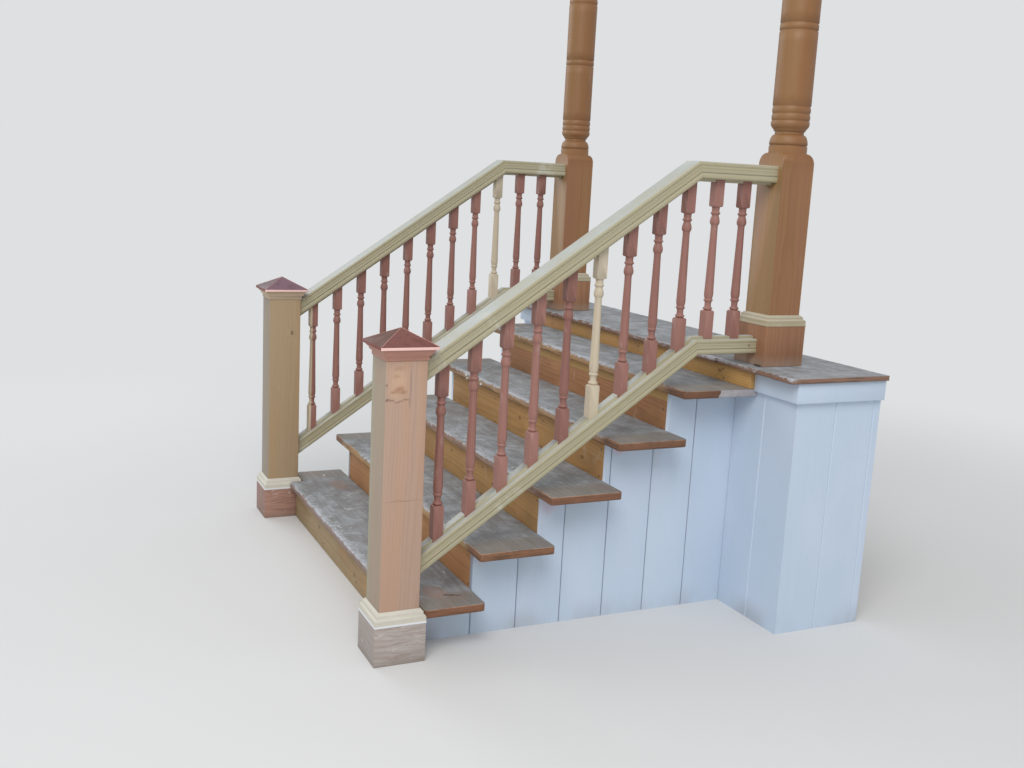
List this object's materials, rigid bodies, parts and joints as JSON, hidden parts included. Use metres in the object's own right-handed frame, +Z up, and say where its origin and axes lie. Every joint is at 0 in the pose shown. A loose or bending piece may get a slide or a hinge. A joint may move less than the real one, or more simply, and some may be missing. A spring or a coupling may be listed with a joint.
{
  "type": "deck stairs",
  "caption": "Wooden deck stairs with white board skirts, turned balusters, moulded rails, newels with copper caps and turned porch posts.",
  "frame": {"origin": "centre of the bounding box at ground level, under the flight", "axes": "+Z up, +Y up the flight towards the porch, +X to the climber's right"},
  "size_m": [2.3, 1.869, 3.405],
  "materials": {
    "weathered_plank": "weathered gray",
    "weathered_deck": "weathered gray",
    "fir_riser": "bare, golden orange",
    "red_riser": "bare, red-brown",
    "framing_lumber": "bare, rough sawn",
    "white_board": "white paint",
    "newel_wood": "bare, oiled",
    "foot_plywood": "bare plywood",
    "cream_moulding": "primed cream",
    "cap_moulding_wood": "bare, reddish",
    "copper": "sheet copper, browned",
    "rail_pine": "bare pale pine",
    "baluster_wood": "bare, reddish",
    "plinth_wood": "bare, orange-brown",
    "post_wood": "bare, golden orange"
  },
  "bodies": {
    "root": {"tread_1": "weathered_plank", "tread_2": "weathered_plank", "tread_3": "weathered_plank", "tread_4": "weathered_plank", "tread_5": "weathered_plank", "riser_1": "fir_riser", "riser_2": "fir_riser", "riser_3": "fir_riser", "riser_4": "fir_riser", "riser_5": "red_riser", "riser_5_strip": "fir_riser", "riser_6": "fir_riser", "stringers": "framing_lumber", "right_skirt": "white_board", "left_skirt": "white_board", "right_newel": "newel_wood", "left_newel": "newel_wood", "right_newel_foot": "foot_plywood", "left_newel_foot": "foot_plywood", "newel_mouldings": "cream_moulding", "cap_mouldings": "cap_moulding_wood", "right_cap": "copper", "left_cap": "copper", "right_rake_hand_rail": "rail_pine", "left_rake_hand_rail": "rail_pine", "right_level_hand_rail": "rail_pine", "left_level_hand_rail": "rail_pine", "right_rake_foot_rail": "rail_pine", "left_rake_foot_rail": "rail_pine", "right_level_foot_rail": "rail_pine", "left_level_foot_rail": "rail_pine", "right_balusters": "baluster_wood", "left_balusters": "baluster_wood", "right_porch_post": "post_wood", "left_porch_post": "post_wood", "post_plinths": "plinth_wood", "post_mouldings": "cream_moulding", "deck_boards": "weathered_deck", "landing_rims": "framing_lumber", "landing_joist": "framing_lumber", "landing_legs": "framing_lumber", "landing_siding": "white_board", "frieze_boards": "white_board"}
  },
  "joints": []
}
